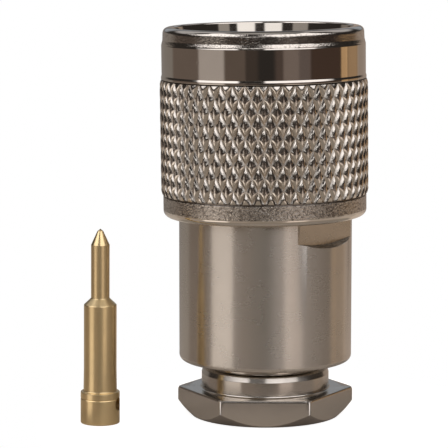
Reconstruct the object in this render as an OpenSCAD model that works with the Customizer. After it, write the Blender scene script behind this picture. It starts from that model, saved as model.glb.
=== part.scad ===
// Cable plug of the N family, clamp version, standing on its clamp nut, with
// its centre contact standing beside it as it is supplied before soldering.
// The plug's axis is Z. Z = 0 is the end face of the clamp nut, where the
// cable goes in, and the coupling nut's mouth is at the top.

/* [Clamp nut] */
// Width across the hexagon's flats
hex_af = 15; // [14.5:0.5:16]
// Height of the hexagon
hex_h = 2.7; // [2:0.1:4]
// Width of the turned bevel on the hexagon's lower corners
hex_bevel = 1.3; // [0.6:0.1:1.6]
// Height of that bevel at the corners
hex_bevel_h = 1.26; // [0.5:0.02:1.6]
// Width of the flatter turn between that bevel and the end face
hex_foot = 0.4; // [0.1:0.05:0.5]
// Diameter of the round collar above the hexagon
collar_d = 12.6; // [12.4:0.1:13.5]
// Height of the collar
collar_h = 2; // [1.5:0.1:4]
// Height of the slim bevel around the collar's upper edge
collar_bevel = 0.5; // [0.3:0.05:0.8]
// Width of the groove between collar and thread
relief_w = 1.5; // [1:0.1:2.5]
// Diameter of that groove
relief_d = 10.7; // [10.2:0.1:11]
// Length of the thread that goes into the housing
gland_thread_l = 4.3; // [3:0.1:6]
// Bore for the cable's jacket
cable_bore = 8; // [7:0.1:8.6]

/* [Cable gland] */
// Outside diameter of the gland thread
gland_thread_d = 12; // [11.8:0.1:12.6]
// Play between the two halves of the gland thread, on the radius
gland_play = 0.05; // [0.02:0.01:0.1]
// How far the clamp nut still has to be screwed in
gland_gap = 0.85; // [0.5:0.05:1.5]
// Outside diameter of the washer, gasket and braid clamp
stack_d = 11; // [10.6:0.1:11.1]
// How much wider the washer's hole is than the bore, on the radius
washer_clear = 0.6; // [0.5:0.1:1]
// Thickness of the thrust washer
washer_t = 0.8; // [0.5:0.1:1.2]
// How much narrower the gasket's hole is than the bore, on the radius
gasket_grip = 0.5; // [0.4:0.1:0.8]
// Length of the cable gasket
gasket_l = 2; // [1.8:0.1:3]
// Depth of the V groove in the gasket's front face
gasket_v = 0.6; // [0.4:0.1:0.8]
// Thickness of the braid clamp's flange
clamp_flange_t = 1; // [0.8:0.1:1.5]
// Length of the braid clamp's nose
clamp_nose_l = 0.5; // [0.3:0.1:1]
// Bore of the braid clamp
braid_bore = 6; // [5.4:0.1:6.4]
// Play at the seats inside the gland
seat_play = 0.05; // [0.02:0.01:0.1]

/* [Housing] */
// Diameter of the barrel
barrel_d = 17; // [16.6:0.1:17.2]
// Length of the barrel up to its shoulder
barrel_l = 15.1; // [14.6:0.1:18]
// Bevel around the barrel's rear edge
barrel_bevel = 0.45; // [0.2:0.05:0.8]
// Width across the two wrench flats
flats_af = 15; // [14.6:0.1:16]
// Height of the wrench flats below the shoulder, at their middle
flats_h = 3; // [2:0.05:5]
// Radius of the round cutter that leaves their curved ledges
flats_mill_r = 21.5; // [15:0.5:40]
// Slope of those ledges: growth of the cutter's radius along its axis
flats_slope = 0.25; // [0.1:0.05:0.5]
// Turn of the wrench flats about the axis
flats_turn = -40.6; // [-90:0.1:90]
// Diameter of the journal that the coupling nut turns on
journal_d = 13.9; // [13.5:0.1:14.2]
// Wall in front of the ring groove
journal_lip = 0.6; // [0.4:0.1:1]
// Length of the threaded bore for the clamp nut
gland_bore_l = 6.45; // [6:0.05:7.5]
// Diameter of the bore that holds the insulators
insulator_bore = 9.4; // [8.8:0.1:9.8]

/* [Coupling nut] */
// Length of the coupling nut
nut_l = 18.55; // [18.2:0.05:21]
// Diameter of the smooth bands
band_d = 19.95; // [19.8:0.05:20.1]
// Diameter over the knurl
knurl_d = 20.37; // [20.2:0.01:20.8]
// Distance from the nut's rear face to the knurl
knurl_start = 2.2; // [2:0.05:3]
// Length of the knurl
knurl_l = 11.3; // [9:0.1:13]
// Diamonds around the knurl
knurl_count = 52; // [40:2:60]
// Half rows of diamonds along the knurl
knurl_rows = 9; // [7:1:11]
// Depth of the knurl's grooves
knurl_depth = 0.34; // [0.2:0.02:0.36]
// Share of a diamond that its crowned top takes up
knurl_flat = 0.5; // [0.1:0.05:0.6]
// How far the shoulders of the diamonds lie below their tops
knurl_crown = 0.06; // [0:0.01:0.12]
// Height of the fine collar in front of the knurl
knurl_collar = 0.4; // [0.3:0.05:0.6]
// Radius of the rounded rear edge
rear_round = 0.75; // [0.3:0.05:1]
// Height of the lip at the mouth
lip_h = 1.4; // [1:0.1:2]
// Step of the lip behind the smooth band
lip_step = 0.05; // [0.03:0.01:0.1]
// Radius of the lip's rounded outer edge
lip_round = 0.48; // [0.2:0.02:0.6]
// Diameter of the mouth
mouth_d = 17.5; // [17:0.1:18]
// Depth of the mouth before its cone
mouth_depth = 1; // [0.5:0.1:1.5]
// Bore over the crests of the coupling thread
coupling_bore = 14.76; // [14.6:0.02:15]
// How much wider than the retaining ring the bore behind the thread is, on the radius
runout_clear = 0.3; // [0.2:0.05:0.4]
// Length of that bore, in front of the rib
runout_l = 4.1; // [3.6:0.1:5]
// Width of the inner rib that holds the nut on the journal
rib_w = 2.3; // [1.8:0.1:2.6]
// How far the nut's skirt reaches back over the barrel
skirt_l = 0.7; // [0.5:0.05:1.5]
// Play between skirt and barrel, on the radius
skirt_play = 0.2; // [0.15:0.05:0.4]
// Play between rib and journal, on the radius
rib_play = 0.08; // [0.05:0.01:0.1]
// Play of the coupling nut along the axis, at each side of its rib
nut_end_play = 0.15; // [0.05:0.05:0.3]

/* [Retaining ring] */
// Thickness of the ring
ring_t = 0.8; // [0.6:0.05:1]
// How far the ring stands out of the journal
ring_proud = 0.75; // [0.5:0.05:0.8]
// Depth of its groove in the journal
ring_groove = 0.55; // [0.4:0.05:0.7]
// Play of the ring in its groove
ring_play = 0.05; // [0.03:0.01:0.08]
// Opening of the ring
ring_gap_angle = 32; // [15:1:60]

/* [Outer contact and face gasket] */
// Outside diameter of the contact sleeve
sleeve_d = 8.2; // [8:0.05:8.6]
// Bore of the contact sleeve
sleeve_bore = 7; // [6.8:0.05:7.2]
// Distance from the nut's mouth back to the sleeve's end
sleeve_recess = 3.1; // [1.5:0.1:4]
// Diameter of the sleeve's root inside the housing
sleeve_root_d = 10; // [9.9:0.1:10.4]
// Length of that root
sleeve_root_l = 4.6; // [3:0.1:5]
// Diameter of the sleeve's foot, which carries the face gasket
sleeve_foot_d = 9.2; // [9:0.05:9.6]
// Slots in the sleeve
sleeve_slots = 4; // [3:1:6]
// Width of a slot
slot_w = 0.5; // [0.3:0.05:0.8]
// Length of a slot
slot_l = 6; // [4:0.1:7]
// Thickness of the face gasket
face_gasket_t = 1.5; // [1:0.1:2]
// Outside diameter of the face gasket
face_gasket_d = 14.2; // [13:0.1:15]
// Play between parts that are pushed together
press_play = 0.02; // [0.01:0.01:0.05]

/* [Insulators] */
// Length of the rear insulator
rear_insulator_l = 1.1; // [0.8:0.1:1.5]
// Hole for the cable's inner conductor
conductor_bore = 2.2; // [1.9:0.1:3]
// How far the front insulator reaches into the sleeve
insulator_nose_l = 6; // [4:0.1:8]

/* [Centre contact] */
// Place of the contact beside the plug, along X
contact_x = -16.1; // [-24:0.1:-15]
// Place of the contact beside the plug, along Y
contact_y = -4.8; // [-12:0.1:6]
// Diameter of the contact's flange
flange_d = 3.82; // [3.5:0.02:4.2]
// Height of the flange
flange_h = 3.13; // [2.5:0.01:3.5]
// Diameter of the contact's body
contact_d = 3.18; // [2.9:0.02:3.3]
// Height at which the body's shoulder starts
shoulder_z = 11.65; // [10:0.05:13]
// Height of the shoulder's cone
shoulder_h = 0.65; // [0.4:0.05:1]
// Diameter of the tip
tip_d = 1.8; // [1.6:0.02:1.9]
// Length of the tip's straight stretch
tip_l = 5.2; // [3:0.1:6]
// Length of the tip's point
point_l = 1.57; // [1:0.01:2]
// Diameter of the blunt end of the point
point_d = 0.56; // [0.3:0.02:0.8]
// Bore that takes the inner conductor
pot_bore = 1.9; // [1.5:0.1:2.2]
// Depth of that bore
pot_depth = 5; // [3:0.1:7]
// Diameter of the solder hole
solder_hole = 1.3; // [0.8:0.1:1.5]
// Height of the solder hole
solder_z = 1.95; // [1.5:0.05:2.1]
// Direction that the solder hole faces
solder_turn = -15; // [-180:1:180]
// Depth of the fine line around the flange
line_depth = 0.06; // [0.03:0.01:0.1]
// Height of that line
line_z = 2.44; // [2:0.02:2.6]

/* [Hidden] */
$fn = 96;
// How far a cutting shape runs past the surface that it cuts
over = 0.5;
// Points along a rounded edge
round_steps = 6;

// Heights along the axis, each from the one below it
collar_top = hex_h + collar_h;
thread_start = collar_top + relief_w;
nut_front = thread_start + gland_thread_l;
washer_top = nut_front + washer_t;
gasket_top = washer_top + gasket_l;
clamp_top = gasket_top + clamp_flange_t;
housing_rear = collar_top + gland_gap;
// The braid clamp's flange meets this step when the clamp nut is home
clamp_seat = clamp_top + gland_gap + seat_play;
rear_insulator_z = clamp_seat + clamp_nose_l + seat_play;
front_insulator_z = rear_insulator_z + rear_insulator_l;
// The flange of the centre contact goes into this pocket
pocket_top = front_insulator_z + flange_h + press_play;
shoulder = housing_rear + barrel_l;
rib_z = shoulder + nut_end_play;
rib_top = rib_z + rib_w;
ring_z = rib_top + nut_end_play;
ring_top = ring_z + ring_t;
housing_front = ring_top + ring_play + journal_lip;
sleeve_root_z = housing_front - sleeve_root_l;
nut_rear = shoulder - skirt_l;
mouth = nut_rear + nut_l;
sleeve_end = mouth - sleeve_recess;
knurl_z = nut_rear + knurl_start;
knurl_top = knurl_z + knurl_l;

// Radii that more than one piece shares
gland_bore_r = gland_thread_d / 2;
clear_bore_r = stack_d / 2 + 3 * seat_play;
insulator_r = insulator_bore / 2;
journal_r = journal_d / 2;
groove_r = journal_r - ring_groove;
ring_r = journal_r + ring_proud;
runout_r = ring_r + runout_clear;
mouth_r = mouth_d / 2;
coupling_r = coupling_bore / 2;
band_r = band_d / 2;
lip_r = band_r - lip_step;
knurl_r = knurl_d / 2;
knurl_root = knurl_r - knurl_depth;
// The nut's solid core under the knurl, and the inside of the knurl's ring
core_r = knurl_root - 0.1;
knurl_in = core_r - 0.4;
flange_r = flange_d / 2;
contact_r = contact_d / 2;
tip_r = tip_d / 2;
edge_break = 0.15;
// The cable gasket lies within these radii, with its V groove between them
gasket_in = cable_bore / 2 - gasket_grip;
gasket_out = stack_d / 2 - edge_break;
v_centre = (gasket_in + gasket_out) / 2;

// Points of a round edge with radius r about [x, z], from angle a to angle b
function round_edge(x, z, r, a, b) =
    [for (k = [0 : round_steps]) let (t = a + (b - a) * k / round_steps)
        [x + r * cos(t), z + r * sin(t)]];

// A solid turned from its half section, with the radius along X and Z along Y
module turned(points) {
    rotate_extrude() polygon(points);
}

// A plain ring from height z
module ring(r_out, r_in, z, h) {
    translate([0, 0, z]) difference() {
        cylinder(r = r_out, h = h);
        translate([0, 0, -over]) cylinder(r = r_in, h = h + 2 * over);
    }
}

// Hexagonal nut with a collar and a threaded shank that presses the gland
module clamp_nut() {
    hex_r = hex_af / sqrt(3);
    bevel_r = hex_r - hex_bevel;
    foot_h = edge_break / 2;
    bore_r = cable_bore / 2;
    shank_r = gland_bore_r - gland_play;
    color("#a8a197") {
        intersection() {
            linear_extrude(hex_h) difference() {
                circle(r = hex_r, $fn = 6);
                circle(r = bore_r);
            }
            turned([[0, 0], [bevel_r - hex_foot, 0], [bevel_r, foot_h],
                [hex_r, foot_h + hex_bevel_h], [hex_r, hex_h - edge_break],
                [hex_r - edge_break, hex_h], [0, hex_h]]);
        }
        turned([[bore_r, hex_h], [collar_d / 2, hex_h],
            [collar_d / 2, collar_top - collar_bevel], [collar_d / 2 - edge_break, collar_top],
            [relief_d / 2, collar_top], [relief_d / 2, thread_start - edge_break],
            [shank_r, thread_start + shank_r - relief_d / 2 - edge_break],
            [shank_r, nut_front - 2 * edge_break],
            [shank_r - 2 * edge_break, nut_front], [bore_r, nut_front]]);
    }
}

// Flat washer between clamp nut and gasket, so that the gasket isn't twisted
module thrust_washer() {
    color("#b9a06a") ring(stack_d / 2, cable_bore / 2 + washer_clear, nut_front, washer_t);
}

// Rubber ring that grips the cable, with a V groove for the braid clamp's edge
module cable_gasket() {
    color("#2c2c2c") turned([[gasket_in, washer_top], [gasket_out, washer_top],
        [gasket_out, gasket_top], [v_centre + gasket_v, gasket_top],
        [v_centre, gasket_top - gasket_v], [v_centre - gasket_v, gasket_top],
        [gasket_in, gasket_top]]);
}

// Flanged ring: the braid is folded over its nose, its edge bites the gasket
module braid_clamp() {
    edge = gasket_v - seat_play;
    nose_r = insulator_r - 2 * seat_play;
    color("#a8a197") turned([[braid_bore / 2, gasket_top], [v_centre - edge, gasket_top],
        [v_centre, gasket_top - edge], [v_centre + edge, gasket_top],
        [stack_d / 2, gasket_top], [stack_d / 2, clamp_top], [nose_r, clamp_top],
        [nose_r, clamp_top + clamp_nose_l / 2],
        [nose_r - clamp_nose_l / 2, clamp_top + clamp_nose_l],
        [braid_bore / 2, clamp_top + clamp_nose_l]]);
}

// Turned housing: barrel with wrench flats, journal and stepped bore
module plug_housing() {
    barrel_r = barrel_d / 2;
    mill_w = barrel_r - flats_af / 2 + over;
    groove_z = ring_z - ring_play;
    groove_top = ring_top + ring_play;
    color("#a8a197") difference() {
        turned([[gland_bore_r + edge_break, housing_rear],
            [barrel_r - barrel_bevel, housing_rear],
            [barrel_r, housing_rear + barrel_bevel], [barrel_r, shoulder],
            [journal_r, shoulder], [journal_r, groove_z], [groove_r, groove_z],
            [groove_r, groove_top], [journal_r, groove_top],
            [journal_r, housing_front - edge_break],
            [journal_r - edge_break, housing_front],
            [sleeve_root_d / 2, housing_front], [sleeve_root_d / 2, sleeve_root_z],
            [insulator_r, sleeve_root_z], [insulator_r, clamp_seat],
            [clear_bore_r, clamp_seat], [clear_bore_r, housing_rear + gland_bore_l],
            [gland_bore_r, housing_rear + gland_bore_l],
            [gland_bore_r, housing_rear + edge_break]]);
        for (side = [0, 180])
            rotate([0, 0, flats_turn + side])
                translate([flats_af / 2, 0, shoulder - flats_h + flats_mill_r])
                    rotate([0, 90, 0]) cylinder(r1 = flats_mill_r,
                        r2 = flats_mill_r + flats_slope * mill_w, h = mill_w);
    }
}

// White disc behind the centre contact's flange
module rear_insulator() {
    color("#f2f0ea") ring(insulator_r - press_play, conductor_bore / 2,
        rear_insulator_z, rear_insulator_l);
}

// White bead with a pocket for the centre contact's flange and a long nose
module front_insulator() {
    nose_r = sleeve_bore / 2 - press_play;
    nose_top = sleeve_root_z + insulator_nose_l;
    pocket_r = flange_r + press_play;
    hole_r = contact_r + press_play;
    color("#f2f0ea") turned([[pocket_r, front_insulator_z],
        [insulator_r - press_play, front_insulator_z],
        [insulator_r - press_play, sleeve_root_z], [nose_r, sleeve_root_z],
        [nose_r, nose_top], [hole_r, nose_top], [hole_r, pocket_top],
        [pocket_r, pocket_top]]);
}

// Slotted contact sleeve with a thick root that is pushed into the housing
module outer_contact() {
    root_r = sleeve_root_d / 2 - press_play;
    r = sleeve_d / 2;
    foot_r = sleeve_foot_d / 2;
    foot_top = housing_front + face_gasket_t + edge_break;
    color("#c9c4ba") difference() {
        turned([[sleeve_bore / 2, sleeve_root_z], [root_r, sleeve_root_z],
            [root_r, housing_front], [foot_r, housing_front], [foot_r, foot_top],
            [r, foot_top], [r, sleeve_end - edge_break], [r - edge_break, sleeve_end],
            [sleeve_bore / 2 + edge_break, sleeve_end],
            [sleeve_bore / 2, sleeve_end - edge_break]]);
        for (k = [0 : sleeve_slots - 1])
            rotate([0, 0, (k + 0.5) * 360 / sleeve_slots])
                translate([0, -slot_w / 2, sleeve_end - slot_l])
                    cube([r + over, slot_w, slot_l + over]);
    }
}

// Flat rubber ring that seals against the mating socket
module face_gasket() {
    color("#a4502f") ring(face_gasket_d / 2, sleeve_foot_d / 2 + seat_play,
        housing_front, face_gasket_t);
}

// Open spring ring in the journal's groove, in front of the nut's rib
module retaining_ring() {
    color("#b08d57") difference() {
        ring(ring_r, groove_r + ring_play, ring_z, ring_t);
        rotate([0, 0, 90 - ring_gap_angle / 2]) translate([0, 0, ring_z - over])
            rotate_extrude(angle = ring_gap_angle)
                square([2 * ring_r, ring_t + 2 * over]);
    }
}

// Radius, column and row as a point; column 0 lies in the direction of +X
function knurl_point(r, column, row) =
    let (a = column * 180 / knurl_count)
    [r * cos(a), r * sin(a), knurl_z + row * knurl_l / knurl_rows];

// Band of diamonds between two sets of crossing grooves. Grid places where the
// sum of row and column is even are crossings of the grooves, and each of the
// others holds a diamond. The diamonds of the two end rows are cut in half.
module knurl() {
    columns = 2 * knurl_count;
    inner_rows = knurl_rows - 1;
    grid = columns * (knurl_rows + 1);
    corners = 4 * knurl_count * inner_rows;
    end_r = knurl_root + knurl_depth / 3;
    flat = knurl_flat;
    shoulder_r = knurl_r - knurl_crown;
    is_end = function(j) j == 0 || j == knurl_rows;
    node_r = function(i, j) (i + j) % 2 == 0 ? knurl_root : is_end(j) ? end_r : knurl_r;
    at = function(i, j) j * columns + (i + columns) % columns;
    inner = function(i, top) grid + corners + top * columns + (i + columns) % columns;
    points = concat(
        [for (j = [0 : knurl_rows], i = [0 : columns - 1]) knurl_point(node_r(i, j), i, j)],
        [for (j = [1 : inner_rows], k = [0 : knurl_count - 1],
            d = [[-1, 0], [0, -1], [1, 0], [0, 1]])
            knurl_point(shoulder_r, 2 * k + 1 - j % 2 + flat * d.x, j + flat * d.y)],
        [for (j = [0, knurl_rows], i = [0 : columns - 1]) knurl_point(knurl_in, i, j)]);
    diamonds = [for (j = [1 : inner_rows], k = [0 : knurl_count - 1])
        let (i = 2 * k + 1 - j % 2,
            low = [at(i - 1, j), at(i, j - 1), at(i + 1, j), at(i, j + 1)],
            first = grid + 4 * ((j - 1) * knurl_count + k))
        for (s = [0 : 3])
            let (n = (s + 1) % 4)
            each [[at(i, j), first + s, first + n],
                [first + s, low[s], low[n]], [first + s, low[n], first + n]]];
    halves = [for (k = [0 : knurl_count - 1])
        let (i = 2 * k + 1, m = 2 * k + 1 - knurl_rows % 2)
        each [[at(i - 1, 0), at(i, 0), at(i, 1)], [at(i, 0), at(i + 1, 0), at(i, 1)],
            [at(m, knurl_rows), at(m - 1, knurl_rows), at(m, inner_rows)],
            [at(m + 1, knurl_rows), at(m, knurl_rows), at(m, inner_rows)]]];
    ends = [for (i = [0 : columns - 1])
        each [[inner(i, 0), at(i + 1, 0), at(i, 0)],
            [inner(i, 0), inner(i + 1, 0), at(i + 1, 0)],
            [inner(i, 1), at(i, knurl_rows), at(i + 1, knurl_rows)],
            [inner(i, 1), at(i + 1, knurl_rows), inner(i + 1, 1)],
            [inner(i, 0), inner(i, 1), inner(i + 1, 1)],
            [inner(i, 0), inner(i + 1, 1), inner(i + 1, 0)]]];
    polyhedron(points, [for (f = concat(diamonds, halves, ends)) [f[2], f[1], f[0]]]);
}

// Knurled nut with the coupling thread's bore, turning on the journal
module coupling_nut() {
    skirt_r = barrel_d / 2 + skirt_play;
    rib_r = journal_r + rib_play;
    collar_r = knurl_r - edge_break;
    cone_z = mouth - mouth_depth;
    color("#a8a197") {
        turned(concat(
            [[skirt_r, nut_rear]],
            round_edge(band_r - rear_round, nut_rear + rear_round, rear_round, -90, 0),
            [[band_r, knurl_z - edge_break], [core_r, knurl_z - edge_break],
                [core_r, knurl_top], [collar_r, knurl_top],
                [collar_r, knurl_top + knurl_collar / 2], [band_r, knurl_top + knurl_collar],
                [band_r, mouth - lip_h],
                [lip_r, mouth - lip_h + 2 * edge_break]],
            round_edge(lip_r - lip_round, mouth - lip_round, lip_round, 0, 90),
            [[mouth_r, mouth], [mouth_r, cone_z],
                [coupling_r, cone_z - (mouth_r - coupling_r)],
                [coupling_r, rib_top + runout_l], [runout_r, rib_top + runout_l],
                [runout_r, rib_top], [rib_r, rib_top], [rib_r, rib_z], [skirt_r, rib_z]]));
        knurl();
    }
}

// Gilded centre contact: flange with solder pot, body, shoulder and pointed tip
module centre_contact() {
    shoulder_top = shoulder_z + shoulder_h;
    tip_top = shoulder_top + tip_l;
    end_r = point_d / 2;
    color("#c79a52") translate([contact_x, contact_y, 0]) difference() {
        turned(concat(
            [[0, 0], [flange_r - edge_break, 0], [flange_r, edge_break],
                [flange_r, line_z - line_depth], [flange_r - line_depth, line_z],
                [flange_r, line_z + line_depth], [flange_r, flange_h - edge_break],
                [flange_r - edge_break, flange_h], [contact_r, flange_h],
                [contact_r, shoulder_z], [tip_r, shoulder_top], [tip_r, tip_top]],
            round_edge(0, tip_top + point_l - end_r, end_r, 15, 90)));
        translate([0, 0, -over]) cylinder(d = pot_bore, h = pot_depth + over);
        rotate([0, 0, solder_turn]) translate([0, 0, solder_z]) rotate([0, 90, 0])
            cylinder(d = solder_hole, h = flange_r + over);
    }
}

clamp_nut();
thrust_washer();
cable_gasket();
braid_clamp();
plug_housing();
rear_insulator();
front_insulator();
outer_contact();
face_gasket();
retaining_ring();
coupling_nut();
centre_contact();
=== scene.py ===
"""Looks of an N family cable plug with its loose centre contact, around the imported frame.

Lengths are millimetres along Z from the clamp nut's end face, and become metres when a
mesh is made. Every sub-assembly is a class that holds its own sizes, builds its meshes
and dresses them.
"""
import logging
import math
from dataclasses import dataclass, field, replace
from enum import Enum
from typing import Any, Callable, Iterable, Sequence

import bmesh
import bpy
from mathutils import Matrix, Vector


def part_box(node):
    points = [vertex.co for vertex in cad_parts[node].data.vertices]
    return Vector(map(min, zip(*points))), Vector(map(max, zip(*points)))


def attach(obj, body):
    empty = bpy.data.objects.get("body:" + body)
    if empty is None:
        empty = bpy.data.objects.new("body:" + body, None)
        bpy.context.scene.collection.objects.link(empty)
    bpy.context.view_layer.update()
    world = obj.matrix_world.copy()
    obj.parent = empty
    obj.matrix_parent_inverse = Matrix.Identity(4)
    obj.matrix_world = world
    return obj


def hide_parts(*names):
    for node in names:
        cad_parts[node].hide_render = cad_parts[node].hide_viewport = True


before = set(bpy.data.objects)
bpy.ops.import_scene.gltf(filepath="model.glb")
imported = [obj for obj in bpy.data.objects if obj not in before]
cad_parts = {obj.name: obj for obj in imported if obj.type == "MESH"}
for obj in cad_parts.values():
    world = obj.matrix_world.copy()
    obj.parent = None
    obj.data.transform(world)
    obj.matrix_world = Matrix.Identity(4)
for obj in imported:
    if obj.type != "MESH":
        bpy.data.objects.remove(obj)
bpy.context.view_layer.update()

MM = 0.001
FULL_TURN = 2 * math.pi
# Edges whose faces meet at a larger angle stay sharp
SHARP = math.radians(28)
# Distance in metres within which two vertices become one
MERGE_M = 2e-7
# Further from the axis than any piece reaches
FAR = 99.0
# Radii of crisp, broken and soft edges
CRISP = 0.05
BROKEN = 0.1
SOFT = 0.15

log = logging.getLogger("n_plug")

Point = tuple[float, float]
Triple = tuple[float, float, float]
Colour = tuple[float, float, float]
# Distance from the axis and height of a ring at an angle
Place = Callable[[float], Point]


def smooth(x: float, low: float, high: float) -> float:
    """Smooth step of x from 0 at low to 1 at high."""
    t = min(1.0, max(0.0, (x - low) / (high - low)))
    return t * t * (3 - 2 * t)


def span(node: str) -> tuple[float, float]:
    """Lowest and highest height of a CAD node, in millimetres."""
    low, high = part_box(node)
    return low.z / MM, high.z / MM


# ---------------------------------------------------------------- shader kit


class Field:
    """A socket that carries one number; arithmetic on it adds Math nodes."""

    def __init__(self, shader: "Shader", socket: bpy.types.NodeSocket | None) -> None:
        """Wraps a socket of a shader's tree, or None for a node without outputs."""
        self.shader = shader
        self.socket = socket

    def math(self, operation: str, *values: "Field | float") -> "Field":
        """One Math node on this number and the others.

        Args:
            operation: The Math node's operation.
            values: The other operands.
        Returns:
            The result's field.
        """
        operands = dict(enumerate([self, *values]))
        return self.shader.node("ShaderNodeMath", operands, operation=operation)

    def other(self, output: int | str) -> "Field":
        """Another output of the same node."""
        return Field(self.shader, self.socket.node.outputs[output])

    def __add__(self, other: "Field | float") -> "Field":
        """self + other."""
        return self.math("ADD", other)

    def __radd__(self, other: float) -> "Field":
        """other + self."""
        return self.math("ADD", other)

    def __sub__(self, other: "Field | float") -> "Field":
        """self - other."""
        return self.math("SUBTRACT", other)

    def __rsub__(self, other: float) -> "Field":
        """other - self."""
        return (self * -1.0) + other

    def __mul__(self, other: "Field | float") -> "Field":
        """self * other."""
        return self.math("MULTIPLY", other)

    def __rmul__(self, other: float) -> "Field":
        """other * self."""
        return self.math("MULTIPLY", other)

    def ramp(self, low: float, high: float, start: float = 0.0, end: float = 1.0) -> "Field":
        """Smooth step of this number.

        Args:
            low: The number at which the step starts.
            high: The number at which it ends.
            start: The result below low.
            end: The result above high.
        Returns:
            The stepped field.
        """
        return self.shader.node("ShaderNodeMapRange", {
            "Value": self, "From Min": low, "From Max": high, "To Min": start, "To Max": end,
        }, interpolation_type="SMOOTHSTEP")

    def window(self, low: float, high: float, soft: float) -> "Field":
        """1 between low and high and 0 outside, with soft edges of that width."""
        half = soft / 2
        return self.ramp(low - half, low + half) * self.ramp(high - half, high + half, 1.0, 0.0)


class Shader:
    """A node tree of a material or the world, filled through one method."""

    def __init__(self, owner: bpy.types.Material | bpy.types.World) -> None:
        """Empties the owner's tree.

        Args:
            owner: The material or world that has the tree.
        """
        owner.use_nodes = True
        self.tree = owner.node_tree
        self.tree.nodes.clear()

    def node(self, kind: str, inputs: dict[Any, Any] | None = None, output: int | str = 0,
             **settings: Any) -> Field:
        """Adds one node.

        Args:
            kind: The node's type.
            inputs: Values, fields or colours by socket name or number.
            output: The output that the result carries.
            settings: The node's own settings, which are set first.
        Returns:
            The chosen output as a field.
        """
        made = self.tree.nodes.new(kind)
        for name, value in settings.items():
            setattr(made, name, value)
        for name, value in (inputs or {}).items():
            if isinstance(value, Field):
                self.tree.links.new(value.socket, made.inputs[name])
            else:
                made.inputs[name].default_value = value
        return Field(self, made.outputs[output] if made.outputs else None)

    def vector(self, operation: str, *values: Any, **named: Any) -> Field:
        """One Vector Math node on fields or tuples."""
        inputs = {**dict(enumerate(values)), **named}
        return self.node("ShaderNodeVectorMath", inputs, operation=operation)

    def mix(self, factor: Field | float, first: Any, second: Any) -> Field:
        """Mixes two colours.

        Args:
            factor: 0 for the first colour, 1 for the second.
            first: A colour or its field.
            second: The other one.
        Returns:
            The mixed colour.
        """
        first, second = ((*c, 1.0) if isinstance(c, tuple) else c for c in (first, second))
        return self.node("ShaderNodeMix", {0: factor, 6: first, 7: second}, 2, data_type="RGBA")

    def parts(self, vector: Field) -> tuple[Field, Field, Field]:
        """The three numbers of a vector."""
        split = self.node("ShaderNodeSeparateXYZ", {0: vector})
        return tuple(split.other(k) for k in range(3))

    def joined(self, x: Field | float, y: Field | float, z: Field | float) -> Field:
        """A vector from three numbers."""
        return self.node("ShaderNodeCombineXYZ", {0: x, 1: y, 2: z})

    def noise(self, vector: Field, scale: float, detail: float = 2.0, rough: float = 0.5) -> Field:
        """Noise from 0 to 1 at a vector."""
        return self.node("ShaderNodeTexNoise", {
            "Vector": vector, "Scale": scale, "Detail": detail, "Roughness": rough})

    def bump(self, height: Field, depth_mm: float, below: Field | None = None) -> Field:
        """A Bump node with a real depth.

        Args:
            height: The height, from 0 to 1.
            depth_mm: What 1 stands for, in millimetres.
            below: The normal that it changes, or None for the surface's own.
        Returns:
            The new normal.
        """
        inputs = {"Strength": 1.0, "Distance": depth_mm * MM, "Height": height}
        if below is not None:
            inputs["Normal"] = below
        return self.node("ShaderNodeBump", inputs)


# Nickel over brass, bright from the plating bath
NICKEL: Colour = (0.66, 0.605, 0.53)
GOLD: Colour = (0.90, 0.69, 0.37)
# Dark colour for grime specks on the plated bands, and for painted shade in recesses and on faces
# that look down
GRIME_AND_SHADE: Colour = (0.13, 0.095, 0.07)


class Lay(Enum):
    """The way a surface was made, which its finest lines follow."""

    TURNED = "rings around the axis"
    PLAIN = "no lay"


@dataclass(frozen=True)
class Knocks:
    """Short knocks and scratches that handling leaves."""

    # Axis and angle that turn them out of the lathe's directions
    axis: Triple = (0.3, 0.8, 0.5)
    turn: float = 0.9
    # How the cells that hold one knock each are squeezed, and their count in a millimetre
    squeeze: Triple = (0.35, 1.6, 0.5)
    cells: float = 1.3
    # Distances from a cell's middle at which a knock's floor ends and the surface begins
    reach: Point = (0.03, 0.09)
    # Random number below which a cell has no knock, from partly to fully
    empty: Point = (0.12, 0.1)
    # Depth of a knock, in millimetres
    depth: float = 0.004

    def height(self, shader: Shader, place: Field) -> Field:
        """The surface's height.

        Args:
            shader: The material's tree.
            place: Place on the surface, in millimetres.
        Returns:
            1 on the surface and 0 at the bottom of a knock.
        """
        turned = shader.node("ShaderNodeVectorRotate", {
            "Vector": place, "Axis": self.axis, "Angle": self.turn}, rotation_type="AXIS_ANGLE")
        squeezed = shader.vector("MULTIPLY", turned, self.squeeze)
        cells = shader.node("ShaderNodeTexVoronoi", {"Vector": squeezed, "Scale": self.cells},
                            feature="F1")
        number = shader.parts(cells.other("Color"))[0]
        return cells.ramp(*self.reach).math("MAXIMUM", number.ramp(*self.empty))


KNOCKS = Knocks()


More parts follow.
